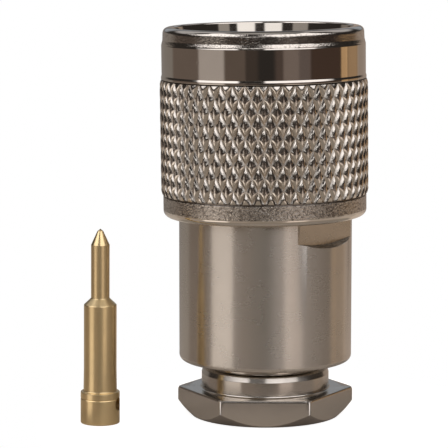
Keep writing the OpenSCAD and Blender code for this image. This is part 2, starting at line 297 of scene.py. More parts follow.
@dataclass(frozen=True)
class Zone:
    """A stretch of a turned piece that is rougher or darker than the rest."""

    # Heights between which the zone lies
    low: float
    high: float
    # Distances from the axis between which it lies
    inner: float = 0.0
    outer: float = FAR
    # Width over which it fades at its edges
    soft: float = 0.12
    # Depth and size of its grain, in millimetres
    depth: float = 0.0
    size: float = 0.16
    # How much darker it is all over, which in the clean cuts beside the knurl is painted shade,
    # and in specks of grime
    dark: float = 0.0
    specks: float = 0.0
    # What it adds to the roughness
    rough: float = 0.0
    # How fine the specks are beside the grain, and the noise at which they begin and are full
    speck_share: float = 0.7
    speck_edge: Point = (0.5, 0.62)

    def mask(self, distance: Field, z: Field) -> Field:
        """Where the zone lies.

        Args:
            distance: Distance from the axis.
            z: Height.
        Returns:
            1 inside the zone and 0 outside it.
        """
        mask = z.window(self.low, self.high, self.soft)
        if self.inner > 0 or self.outer < FAR:
            mask = mask * distance.window(self.inner, self.outer, self.soft)
        return mask

    def grain(self, shader: Shader, place: Field, mask: Field) -> Field:
        """Height of the grain inside the mask, from 0 to 1."""
        return shader.noise(place, 1 / self.size, 2.0, 0.6) * mask

    def grime_and_shade(self, shader: Shader, place: Field, mask: Field) -> Field:
        """Share of the dark colour inside the mask, all over and in specks: grime specks, and
        painted shade where a zone stands for a recess.
        """
        spots = shader.noise(place, self.speck_share / self.size, 2.0, 0.6).ramp(*self.speck_edge)
        return mask * (spots * self.specks + self.dark).math("MINIMUM", 1.0)


@dataclass(frozen=True)
class Finish:
    """A finish that every surface of one kind shares."""

    name: str
    colour: Colour
    roughness: float
    metallic: float = 1.0
    lay: Lay = Lay.TURNED
    # Depth of the cutting lines, in millimetres
    line_depth: float = 0.0004
    # Depth of the fine unevenness that plating or moulding leaves
    peel_depth: float = 0.0006
    # Size of that unevenness
    peel_size: float = 0.25
    # How strongly colour and gloss wander over the surface
    wander: float = 0.12
    # Small knocks and scratches, 0 for none
    marks: float = 0.0
    # How far the cutting lines stretch the gloss along the axis
    stretch: float = 0.0
    zones: tuple[Zone, ...] = ()
    # Heights between which a hexagon's corners are worn to a bright line
    worn: Point | None = None
    # Half width of that line, the share of it that doesn't fade, how soft its ends are, how
    # far it tips the surface back, and how much rougher it is
    worn_width: float = 0.12
    worn_core: float = 0.6
    worn_soft: float = 0.1
    worn_tip: float = 0.3
    worn_rough: float = 0.1
    # Share of painted shade on faces that look down, darkened as if less light reached them, and
    # the slopes at which it starts and is full
    painted_shade: float = 0.0
    painted_shade_slopes: Point = (-0.3, -0.6)
    # Share of the gloss's wander that the cutting lines add, and what is taken off for their
    # middle height
    line_gloss: float = 0.35
    line_middle: float = 0.17

    def _coordinates(self, shader: Shader) -> tuple[Field, Field, Field, Field]:
        """Where a point of the surface lies.

        Args:
            shader: The material's tree.
        Returns:
            Its place in millimetres, distance from the axis, angle and height.
        """
        place = shader.vector("SCALE", shader.node(
            "ShaderNodeTexCoord", output="Object"), Scale=1 / MM)
        x, y, z = shader.parts(place)
        around = y.math("ARCTAN2", x)
        distance = (x * x + y * y).math("SQRT")
        return place, distance, around, z

    def _lines(self, shader: Shader, place: Field, distance: Field, around: Field,
               z: Field) -> Field:
        """The finest lines, which a lathe leaves as rings.

        Args:
            shader: The material's tree.
            place: Place on the surface, in millimetres.
            distance: Distance from the axis.
            around: Angle around it.
            z: Height.
        Returns:
            The lines' height, from 0 to 1.
        """
        if self.lay is Lay.TURNED:
            return shader.noise(shader.joined(distance, z, around * 0.25), 9.0, 4.0, 0.75)
        return shader.noise(place, 4.0, 3.0, 0.6)

    def material(self) -> bpy.types.Material:
        """Builds the finish's material.

        Returns:
            The material, with its colour, gloss and bump from nodes.
        """
        made = bpy.data.materials.new(self.name)
        shader = Shader(made)
        place, distance, around, z = self._coordinates(shader)
        lines = self._lines(shader, place, distance, around, z)
        broad = shader.noise(place, 0.35, 3.0, 0.55)
        peel = shader.noise(place, 1 / self.peel_size, 2.0, 0.5)
        rough = broad * self.wander + (self.roughness - self.wander / 2)
        rough = rough + lines * (self.wander * self.line_gloss) - self.wander * self.line_middle
        darker = tuple(c * (1 - self.wander) for c in self.colour)
        colour = shader.mix(broad.ramp(0.3, 0.7), self.colour, darker)
        normal = shader.bump(lines, self.line_depth)
        normal = shader.bump(peel, self.peel_depth, normal)
        for zone in self.zones:
            mask = zone.mask(distance, z)
            if zone.depth > 0:
                normal = shader.bump(zone.grain(shader, place, mask), zone.depth, normal)
            # Grime specks, and painted shade where a zone stands for a recess such as the clean
            # cuts beside the knurl
            if zone.dark > 0 or zone.specks > 0:
                colour = shader.mix(zone.grime_and_shade(shader, place, mask), colour, GRIME_AND_SHADE)
            rough = rough + mask * zone.rough
        if self.worn is not None:
            corner = distance * around.math("PINGPONG", math.pi / 6)
            edge = corner.ramp(self.worn_width, self.worn_width * self.worn_core)
            edge = edge * z.window(*self.worn, self.worn_soft)
            normal = shader.bump(z * -self.worn_tip * edge, 1.0, normal)
            rough = rough + edge * self.worn_rough
        # Painted shade: faces that look down are darkened towards the dark colour, as if less
        # light reached them
        if self.painted_shade > 0:
            facing = shader.parts(shader.node("ShaderNodeTexCoord", output="Normal"))[2]
            shade = facing.ramp(*self.painted_shade_slopes, 0.0, self.painted_shade)
            colour = shader.mix(shade, colour, GRIME_AND_SHADE)
        if self.marks > 0:
            knocks = KNOCKS.height(shader, place)
            normal = shader.bump(knocks, KNOCKS.depth * self.marks, normal)
        surface = shader.node("ShaderNodeBsdfPrincipled", {
            "Base Color": colour, "Metallic": self.metallic, "Roughness": rough,
            "Anisotropic": self.stretch, "Anisotropic Rotation": 0.25, "Normal": normal})
        shader.node("ShaderNodeOutputMaterial", {"Surface": surface})
        return made


NUT_PLATE = Finish("nickel_on_nut", NICKEL, 0.07, line_depth=0.0003, peel_depth=0.0005,
                   wander=0.04, marks=0.4)
BARREL_PLATE = Finish("nickel_on_barrel", NICKEL, 0.27, line_depth=0.0012,
                      peel_depth=0.0003, wander=0.05, marks=0.35, stretch=0.9)
# The clamp nut's faces that look down, such as its bevel, get painted shade
CLAMP_PLATE = Finish("nickel_on_clamp_nut", NICKEL, 0.2, line_depth=0.0012, wander=0.06,
                     marks=0.4, stretch=0.5, painted_shade=0.55)
INNER_PLATE = Finish("nickel_inside", NICKEL, 0.25)
SLEEVE_PLATE = Finish("white_bronze", (0.74, 0.71, 0.66), 0.2, line_depth=0.0006)
GILDING = Finish("gilding", GOLD, 0.32, line_depth=0.001, wander=0.08, stretch=0.6)
BRONZE = Finish("spring_bronze", (0.62, 0.44, 0.27), 0.3, lay=Lay.PLAIN)
BRASS = Finish("stamped_brass", (0.70, 0.57, 0.33), 0.33, lay=Lay.PLAIN)
PTFE = Finish("ptfe", (0.86, 0.85, 0.82), 0.42, metallic=0.0, line_depth=0.002, wander=0.03)
SILICONE = Finish("silicone", (0.42, 0.115, 0.055), 0.5, metallic=0.0, lay=Lay.PLAIN,
                  peel_depth=0.004, wander=0.1)
RUBBER = Finish("black_rubber", (0.028, 0.027, 0.026), 0.6, metallic=0.0, lay=Lay.PLAIN,
                peel_depth=0.006, wander=0.1)


# ---------------------------------------------------------------- mesh kit


class Outline:
    """A half section of a turned piece, as corners that may be rounded."""

    # Radius up to which an arc has few steps, and how many those are
    SMALL = 0.12
    SMALL_STEPS = 3
    # Distance from an arc of the point that keeps its bend out of the face beside it
    GUARD = 0.04
    # Share of a side that the arc at one of its ends may take
    SHARE = 0.49
    # A side shorter than this is none
    NOTHING = 1e-9

    def __init__(self) -> None:
        """Starts with no corner."""
        self.corners: list[Triple] = []

    def to(self, r: float, z: float, rounding: float = 0.0) -> "Outline":
        """Adds a corner.

        Args:
            r: Distance from the axis.
            z: Height.
            rounding: Radius of the corner's round edge.
        Returns:
            The outline, so that corners can be chained.
        """
        self.corners.append((r, z, rounding))
        return self

    def points(self, steps: int = 5) -> list[Point]:
        """The outline's points, with an arc at each round corner.

        A point just before and after each arc keeps the bend out of the faces beside it.

        Args:
            steps: Steps of an arc that isn't a small one.
        Returns:
            Pairs of distance from the axis and height.
        """
        count = len(self.corners)
        out: list[Point] = []
        for k, (r, z, rounding) in enumerate(self.corners):
            here = Vector((r, z))
            before = Vector(self.corners[k - 1][:2]) - here
            after = Vector(self.corners[(k + 1) % count][:2]) - here
            shorter = min(before.length, after.length)
            if rounding <= 0 or shorter < self.NOTHING:
                out.append((r, z))
                continue
            back, onward = before.normalized(), after.normalized()
            half = before.angle(after) / 2
            reach = min(rounding / math.tan(half), self.SHARE * shorter)
            radius = reach * math.tan(half)
            centre = here + (back + onward).normalized() * (radius / math.sin(half))
            start = here + back * reach - centre
            turn = start.angle_signed(here + onward * reach - centre)
            fine = steps if rounding > self.SMALL else self.SMALL_STEPS
            guard = reach + self.GUARD
            if guard < self.SHARE * before.length:
                out.append(tuple(here + back * guard))
            for s in range(fine + 1):
                spoke = start.copy()
                spoke.rotate(Matrix.Rotation(-turn * s / fine, 2))
                out.append(tuple(centre + spoke))
            if guard < self.SHARE * after.length:
                out.append(tuple(here + onward * guard))
        return out


def all_round(points: Iterable[Point]) -> list[Place]:
    """Rings that keep their distance and height at every angle."""
    return [lambda angle, p=p: p for p in points]


class Form:
    """Vertices and faces of one closed piece, gathered ring by ring."""

    def __init__(self) -> None:
        """Starts empty."""
        self.vertices: list[Triple] = []
        self.faces: list[tuple[int, ...]] = []

    def ring(self, angles: Sequence[float], place: Place) -> list[int]:
        """Adds a ring of vertices.

        Args:
            angles: The ring's angles.
            place: Distance from the axis and height at an angle.
        Returns:
            The new vertices' numbers.
        """
        first = len(self.vertices)
        for a in angles:
            r, z = place(a)
            self.vertices.append((r * math.cos(a), r * math.sin(a), z))
        return list(range(first, len(self.vertices)))

    def bridge(self, low: Sequence[int], high: Sequence[int],
               slant: Callable[[int], bool] | None = None) -> None:
        """Joins two rings that have equal or multiple counts with faces.

        Args:
            low: The first ring, in the direction in which the outline runs.
            high: The ring after it.
            slant: Which way a face's diagonal runs in a column, or None for plain quads.
        """
        n = len(low)
        if n != len(high):
            self._fan(low, high)
            return
        for k in range(n):
            a, b = low[k], low[(k + 1) % n]
            c, d = high[(k + 1) % n], high[k]
            if slant is None:
                self.faces.append((a, b, c, d))
            elif slant(k):
                self.faces += [(a, b, c), (a, c, d)]
            else:
                self.faces += [(a, b, d), (b, c, d)]

    def _fan(self, low: Sequence[int], high: Sequence[int]) -> None:
        """Joins two rings of which one has a whole multiple of the other's count.

        Args:
            low: The first ring.
            high: The ring after it.
        """
        down = len(low) > len(high)
        fine, coarse = (low, high) if down else (high, low)
        share = len(fine) // len(coarse)
        middle = share // 2
        for k, a in enumerate(coarse):
            b = coarse[(k + 1) % len(coarse)]
            run = [fine[(k * share + s) % len(fine)] for s in range(share + 1)]
            fan = [(run[s], run[s + 1], a if s < middle else b) for s in range(share)]
            for face in (*fan, (run[middle], b, a)):
                self.faces.append(face if down else face[::-1])

    def chain(self, last: list[int], places: Iterable[Place],
              angles: Sequence[float]) -> list[int]:
        """Adds rings and joins each to the one before.

        Args:
            last: The ring that the first one is joined to.
            places: The rings' places by angle.
            angles: The angles that they share.
        Returns:
            The last ring.
        """
        for place in places:
            ring = self.ring(angles, place)
            self.bridge(last, ring)
            last = ring
        return last

    def closed(self, places: Sequence[Place], angles: Sequence[float]) -> None:
        """Adds rings, joined one after another and the last to the first."""
        start = self.ring(angles, places[0])
        self.bridge(self.chain(start, places[1:], angles), start)

    def turned(self, points: Sequence[Point], angles: Sequence[float]) -> None:
        """Adds a full turn of a closed outline."""
        self.closed(all_round(points), angles)

    def mesh(self, name: str, origin: Sequence[float] = (0.0, 0.0, 0.0)) -> bpy.types.Object:
        """Makes the object, in metres, with smooth curves and sharp edges.

        Args:
            name: The object's name.
            origin: Place of the piece's own origin.
        Returns:
            The new object.
        """
        data = bpy.data.meshes.new(name)
        scaled = [(x * MM, y * MM, z * MM) for x, y, z in self.vertices]
        data.from_pydata(scaled, [], self.faces)
        made = bpy.data.objects.new(name, data)
        made.location = Vector(origin) * MM
        bpy.context.scene.collection.objects.link(made)
        _tidy(data)
        return made


def lean(piece: bpy.types.Object, degrees: float, height: float,
         shift: Sequence[float] = (0.0, 0.0, 0.0)) -> None:
    """Leans a piece to the right.

    Args:
        piece: The piece.
        degrees: The angle, negative to the left.
        height: Height of the point that keeps its place.
        shift: How far the piece is then moved, in millimetres.
    """
    turn = Matrix.Rotation(math.radians(degrees), 4, "Y")
    pivot = Vector((0.0, 0.0, height * MM))
    start = Matrix.Translation(piece.location + pivot + Vector(shift) * MM)
    piece.matrix_world = start @ turn @ Matrix.Translation(-pivot)


def _tidy(data: bpy.types.Mesh) -> None:
    """Merges doubles, points all faces outwards and shades round surfaces smooth.

    Args:
        data: The mesh that is changed.
    """
    work = bmesh.new()
    work.from_mesh(data)
    bmesh.ops.remove_doubles(work, verts=work.verts, dist=MERGE_M)
    bmesh.ops.dissolve_degenerate(work, edges=work.edges, dist=MERGE_M)
    bmesh.ops.recalc_face_normals(work, faces=work.faces)
    work.to_mesh(data)
    work.free()
    for face in data.polygons:
        face.use_smooth = True
    data.set_sharp_from_angle(angle=SHARP)


def cut(piece: bpy.types.Object, cutter: bpy.types.Object) -> None:
    """Takes the cutter's volume out of a piece and deletes the cutter.

    Args:
        piece: The piece that is cut.
        cutter: A closed body.
    """
    step = piece.modifiers.new("cut", "BOOLEAN")
    step.operation, step.object, step.solver = "DIFFERENCE", cutter, "EXACT"
    bpy.context.view_layer.update()
    graph = bpy.context.evaluated_depsgraph_get()
    result = bpy.data.meshes.new_from_object(piece.evaluated_get(graph))
    piece.modifiers.clear()
    piece.data = result
    bpy.data.objects.remove(cutter)
    _tidy(result)


def full_circle(count: int, extra: Iterable[float] = ()) -> list[float]:
    """Angles around a circle.

    Args:
        count: How many even steps there are.
        extra: More angles, which even ones close to them make room for.
    Returns:
        The angles in order.
    """
    kept = sorted({a % FULL_TURN for a in extra})
    spacing = FULL_TURN / count / 3
    even = (k * FULL_TURN / count for k in range(count))
    return sorted([*kept, *(b for b in even if all(abs(b - a) > spacing for a in kept))])


@dataclass(frozen=True)
class Thread:
    """A right-hand screw thread, as a radius that depends on angle and height."""

    root: float
    crest: float
    pitch: float
    start: float
    end: float
    # Share of the pitch that is flat at the crest and at the root
    flat: float = 0.16
    steps: int = 12

    def radius(self, angle: float, z: float) -> float:
        """The thread's surface.

        Args:
            angle: Angle around the axis.
            z: Height.
        Returns:
            Distance from the axis.
        """
        phase = (z / self.pitch - angle / FULL_TURN) % 1.0
        rise = abs(2 * phase - 1)
        form = min(1.0, max(0.0, (rise - self.flat) / (1 - 2 * self.flat)))
        fade = smooth(z, self.start, self.start + self.pitch / 2) * (
            1 - smooth(z, self.end - self.pitch / 2, self.end))
        return self.root + (self.crest - self.root) * form * fade

    def heights(self, low: float, high: float) -> list[float]:
        """Heights of the rings between low and high."""
        count = max(2, round((high - low) / self.pitch * self.steps))
        return [low + (high - low) * k / count for k in range(count + 1)]


@dataclass
class Piece:
    """Something that belongs to one body and takes one material slot."""

    body: str

    def dress(self, obj: bpy.types.Object, finish: Finish, slot: str, *nodes: str) -> None:
        """Gives a piece its finish and its body, and hides the CAD nodes that it stands for.

        Args:
            obj: The piece.
            finish: Its finish.
            slot: The record's material slot; not used.
            nodes: The CAD nodes that it replaces.
        """
        obj.data.materials.clear()
        obj.data.materials.append(finish.material())
        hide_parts(*nodes)
        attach(obj, self.body)
        log.info("%s: %d faces, rides on %s", obj.name, len(obj.data.polygons), self.body)


# ---------------------------------------------------------------- sub-assemblies


@dataclass
class CouplingNut(Piece):
    """Knurled coupling nut with its coupling thread."""

    body: str = "coupling"
    band_r: float = 9.975
    knurl_r: float = 10.185
    knurl_start: float = 2.2
    knurl_l: float = 11.3
    knurl_count: int = 52
    knurl_rows: int = 9
    knurl_depth: float = 0.25
    # Steps along one side of half a diamond
    fineness: int = 6
    # Share of a diamond's half that is groove wall, and share of the depth that it rises
    wall: float = 0.42
    wall_rise: float = 0.86
    # The wall's share where an upper side of a diamond runs out, away from its point, and
    # the stretch of that side over which it changes
    wall_low: float = 0.85
    wall_turn: Point = (0.25, 0.55)
    # Slope and start of the bevel that the end rows of diamonds have
    end_slope: float = 0.3
    end_start: float = 0.13
    # Width of the clean cut before and behind the knurl, the bevel behind it, and how far
    # its floor lies below the grooves
    end_cut: float = 0.13
    end_bevel: float = 0.05
    core_play: float = 0.1
    # Collar in front of the knurl
    collar_r: float = 10.035
    collar_h: float = 0.4
    collar_bevel: float = 0.03
    rear_round: float = 0.75
    lip_h: float = 1.74
    lip_step: float = 0.12
    lip_cone: float = 0.48
    lip_taper: float = 0.05
    lip_round: float = 0.7
    mouth_r: float = 8.75
    mouth_taper: float = 0.15
    mouth_depth: float = 1.0
    # How much the mouth stays below its solid, for the nut's lean in its play
    mouth_play: float = 0.04
    lean_degrees: float = -0.66
    lean_shift: Triple = (-0.07, 0.0, -0.08)
    thread_crest: float = 7.38
    thread_root: float = 7.95
    pitch: float = 25.4 / 24
    # How far above the thread's top its turns are seen in the cone, and where they end
    turns_seen: float = 0.6
    turns_end: float = 0.9
    thread_steps: int = 7
    runout_r: float = 8.0
    runout_l: float = 4.1
    rib_r: float = 7.03
    rib_w: float = 2.3
    rib_z: float = 0.85
    skirt_r: float = 8.7
    # Rounding of the small edges beside the knurl
    edge: float = 0.03
    arc_steps: int = 7
    # Columns of the outside in one of the bore
    bore_share: int = 3
    # Distance from the axis at which the outside's grain starts, and the lip's
    grain_r: float = 9.4
    lip_grain_r: float = 9.3
    # Distance up to which the grooves' floors are duller than the diamonds
    floor_r: float = 10.0

    def _finish(self) -> Finish:
        """The nut's plating, with the grain of its bands and painted shade in the clean cuts
        beside its knurl.

        Returns:
            The plating, whose zones are measured from the nut's own edges.
        """
        rear, mouth = span("coupling_nut")
        start = rear + self.knurl_start
        end = start + self.knurl_l
        inner_low, inner_high = start + 0.05, end - 0.05
        cuts = ((start - 0.13, start + 0.01), (end - 0.12, end + 0.01))
        return replace(NUT_PLATE, zones=(
            # Rear band
            Zone(rear + 0.65, start - 0.15, self.grain_r, depth=0.06, size=0.18, dark=0.16,
                 specks=0.5, rough=0.14),
            # Lip
            Zone(mouth - 1.6, mouth - 0.3, self.lip_grain_r, depth=0.016, size=0.15,
                 specks=0.3, rough=0.02),
            # Knurl, and the floors of its grooves
            Zone(inner_low, inner_high, self.grain_r, depth=0.012, size=0.2, rough=0.06),
            Zone(inner_low, inner_high, self.grain_r, self.floor_r, soft=0.06, rough=0.25),
            # Clean cuts behind and before the knurl, darkened with painted shade as recesses
            *(Zone(low, high, self.grain_r, soft=0.05, dark=0.8, rough=0.2)
              for low, high in cuts)))

    def _diamond(self, column: int, row: int) -> float:
        """The knurl's surface.

        Args:
            column: Fine grid column around the nut.
            row: Fine grid row along it.
        Returns:
            0 in a groove, up to 1 on top of a diamond.
        """
        n = self.fineness
        i, x = divmod(column, n)
        j, y = divmod(row, n)
        rising = (i + j) % 2 == 0
        below = (x - y if rising else n - x - y) / n
        d = abs(below)
        wall = self.wall
        if below > 0:
            along = (y + (x if rising else n - x)) / (2 * n)
            wall = self.wall_low + (self.wall - self.wall_low) * smooth(along, *self.wall_turn)
        if d < wall:
            return d / wall * self.wall_rise
        top = (1 - d) / (1 - wall)
        return 1 - (1 - self.wall_rise) * top * top

    def _knurl(self, form: Form, fine: Sequence[float], last: list[int], low: float,
               high: float) -> list[int]:
        """Adds the knurl.

        Args:
            form: The nut.
            fine: Angles of the fine grid's columns.
            last: The ring that the knurl starts from.
            low: Height of the knurl's rear end.
            high: Height of its front end.
        Returns:
            Its last ring.
        """
        root = self.knurl_r - self.knurl_depth
        n = self.fineness
        rows = self.knurl_rows * n
        for row in range(rows + 1):
            z = low + (high - low) * row / rows
            end = root + self.end_start + min(z - low, high - z) * self.end_slope
            place = {a: (min(end, root + self.knurl_depth * self._diamond(c, row)), z)
                     for c, a in enumerate(fine)}
            ring = form.ring(fine, place.__getitem__)
            j = (row - 1) // n
            slant = None if row == 0 else (lambda c, j=j: (c // n + j) % 2 == 0)
            form.bridge(last, ring, slant)
            last = ring
        return last

    def _inside(self, rear: float, cone_z: float) -> list[Place]:
        """The bore, from the mouth's cone down to the skirt.

        Args:
            rear: Height of the nut's rear face.
            cone_z: Height of the mouth's inner edge.
        Returns:
            The places of its rings.
        """
        throat_r = self.mouth_r - self.mouth_taper
        thread_top = cone_z - (throat_r - self.thread_crest)
        rib_top = rear + self.rib_z + self.rib_w
        thread_low = rib_top + self.runout_l
        inside: list[Place] = [lambda a: (throat_r, cone_z)]
        thread = Thread(self.thread_root, self.thread_crest, self.pitch, thread_low - self.pitch,
                        thread_top + self.turns_end, steps=self.thread_steps)
        for z in reversed(thread.heights(thread_low, thread_top + self.turns_seen)):
            cap = self.thread_crest + max(0.0, z - thread_top)
            inside.append(lambda a, z=z, cap=cap: (max(cap, thread.radius(a, z)), z))
        rest = (Outline().to(self.runout_r, thread_low).to(self.runout_r, rib_top, 0.2)
                .to(self.rib_r, rib_top, BROKEN).to(self.rib_r, rear + self.rib_z, BROKEN)
                .to(self.skirt_r, rear + self.rib_z, BROKEN))
        return inside + all_round(rest.points(4))

    def build(self) -> None:
        """Builds the nut as one closed mesh, leans it in its play and dresses it."""
        rear, mouth = span("coupling_nut")
        mouth -= self.mouth_play
        fine = full_circle(2 * self.knurl_count * self.fineness)
        knurl_z = rear + self.knurl_start
        knurl_top = knurl_z + self.knurl_l
        core = self.knurl_r - self.knurl_depth - self.core_play
        lip_z = mouth - self.lip_h + self.mouth_play
        lip_r = self.band_r - self.lip_step
        form = Form()
        lower = (Outline().to(self.skirt_r, rear, BROKEN)
                 .to(self.band_r, rear, self.rear_round)
                 .to(self.band_r, knurl_z - self.end_cut - self.end_bevel, self.edge)
                 .to(core, knurl_z - self.end_cut).to(core, knurl_z))
        first, *others = all_round(lower.points(self.arc_steps))
        start = form.ring(fine, first)
        last = form.chain(start, others, fine)
        last = self._knurl(form, fine, last, knurl_z, knurl_top - self.end_cut)
        upper = (Outline().to(core, knurl_top - self.end_cut)
                 .to(core, knurl_top - self.collar_bevel)
                 .to(self.collar_r, knurl_top, self.edge)
                 .to(self.collar_r, knurl_top + self.collar_h / 2, self.edge)
                 .to(self.band_r, knurl_top + self.collar_h, self.edge)
                 .to(self.band_r, lip_z, self.edge)
                 .to(lip_r, lip_z + self.lip_cone, 2 * self.edge)
                 .to(lip_r - self.lip_taper, mouth, self.lip_round)
                 .to(self.mouth_r, mouth, SOFT)
                 .to(self.mouth_r - self.mouth_taper, mouth - self.mouth_depth))
        last = form.chain(last, all_round(upper.points(self.arc_steps)[1:-1]), fine)
        inside = self._inside(rear, mouth - self.mouth_depth)
        last = form.chain(last, inside, fine[::self.bore_share])
        form.bridge(last, start)
        nut = form.mesh("coupling_nut_knurled")
        lean(nut, self.lean_degrees, rear + self.rib_z + self.rib_w / 2, self.lean_shift)
        self.dress(nut, self._finish(), "nickel_nut", "coupling_nut")


@dataclass
class Housing(Piece):
    """Barrel with wrench flats, journal and bore."""

    body: str = "plug"
    barrel_r: float = 8.5
    rear_round: float = 0.5
    flats_af: float = 15.0
    flats_h: float = 3.0
    flats_turn: float = math.radians(-40.6)
    # Radius of the cutter that left the flats' ledges, and its growth along its axis
    mill_r: float = 21.5
    mill_slope: float = 0.25
    shoulder: float = 15.1
    journal_r: float = 6.95
    groove_r: float = 6.4
    bore_r: float = 6.0
    clear_r: float = 5.65
    groove_play: float = 0.05
    insulator_r: float = 4.7
    # How far the insulators' bore reaches behind the rear one
    insulator_inset: float = 0.6
    sleeve_root_r: float = 5.0
    gland_bore_l: float = 6.45
    gland_chamfer: float = 0.25
    # Height up to which the barrel is a plain turned one
    plain_l: float = 4.0
    # Width and height of the small step that rounds the ledges' upper edge off
    ledge_share: float = 0.04
    ledge_drop: float = 0.03
    segments: int = 288

    def _off(self, angle: float) -> float:
        """Angle from the middle of the nearer wrench flat."""
        return abs((angle - self.flats_turn + math.pi / 2) % math.pi - math.pi / 2)

    def _flattened(self, angle: float, r: float) -> float:
        """Distance from the axis where the wrench flats cut the round."""
        return min(r, self.flats_af / 2 / math.cos(self._off(angle)))

    def _ledge(self, angle: float, on_flat: bool) -> float:
        """Height of a wrench flat's curved ledge.

        Args:
            angle: Angle around the axis.
            on_flat: Whether the ledge's inner edge is meant, and not its outer one.
        Returns:
            Its height above the shoulder, which is negative.
        """
        half_af = self.flats_af / 2
        off = min(self._off(angle), math.acos(half_af / self.barrel_r))
        r = half_af / math.cos(off) if on_flat else self.barrel_r
        cutter = self.mill_r + self.mill_slope * (r * math.cos(off) - half_af)
        return self.mill_r - self.flats_h - math.sqrt(cutter ** 2 - (r * math.sin(off)) ** 2)

    def build(self) -> None:
        """Builds the housing as one closed mesh and dresses it."""
        rear, front = span("plug_housing")
        shoulder = rear + self.shoulder
        ring_low, ring_top = span("retaining_ring")
        root_low = span("outer_contact")[0]
        seat = span("rear_insulator")[0] - self.insulator_inset
        half = math.acos(self.flats_af / 2 / self.barrel_r)
        edges = [self.flats_turn + side + way * half
                 for side in (0, math.pi) for way in (-1, 1)]
        groove_low, groove_top = ring_low - self.groove_play, ring_top + self.groove_play
        barrel_r, share = self.barrel_r, self.ledge_share
        outer = (Outline().to(self.bore_r + self.gland_chamfer, rear, 0.08)
                 .to(barrel_r, rear, self.rear_round).to(barrel_r, rear + self.plain_l))
        flats: list[Place] = [
            lambda a: (barrel_r, shoulder + self._ledge(a, False) - self.ledge_drop),
            lambda a: (self._flattened(a, barrel_r) * share + barrel_r * (1 - share),
                       shoulder + self._ledge(a, False)),
            lambda a: (self._flattened(a, barrel_r), shoulder + self._ledge(a, True)),
            lambda a: (self._flattened(a, barrel_r), shoulder - BROKEN),
            lambda a: (self._flattened(a, barrel_r - BROKEN), shoulder)]
        rest = (Outline().to(self.journal_r, shoulder, BROKEN)
                .to(self.journal_r, groove_low).to(self.groove_r, groove_low)
                .to(self.groove_r, groove_top).to(self.journal_r, groove_top)
                .to(self.journal_r, front, SOFT).to(self.sleeve_root_r, front, CRISP)
                .to(self.sleeve_root_r, root_low).to(self.insulator_r, root_low)
                .to(self.insulator_r, seat).to(self.clear_r, seat)
                .to(self.clear_r, rear + self.gland_bore_l)
                .to(self.bore_r, rear + self.gland_bore_l)
                .to(self.bore_r, rear + self.gland_chamfer))
        form = Form()
        form.closed([*all_round(outer.points(8)), *flats, *all_round(rest.points(4))],
                    full_circle(self.segments, edges))
        self.dress(form.mesh("plug_barrel"), BARREL_PLATE, "nickel_housing", "plug_housing")


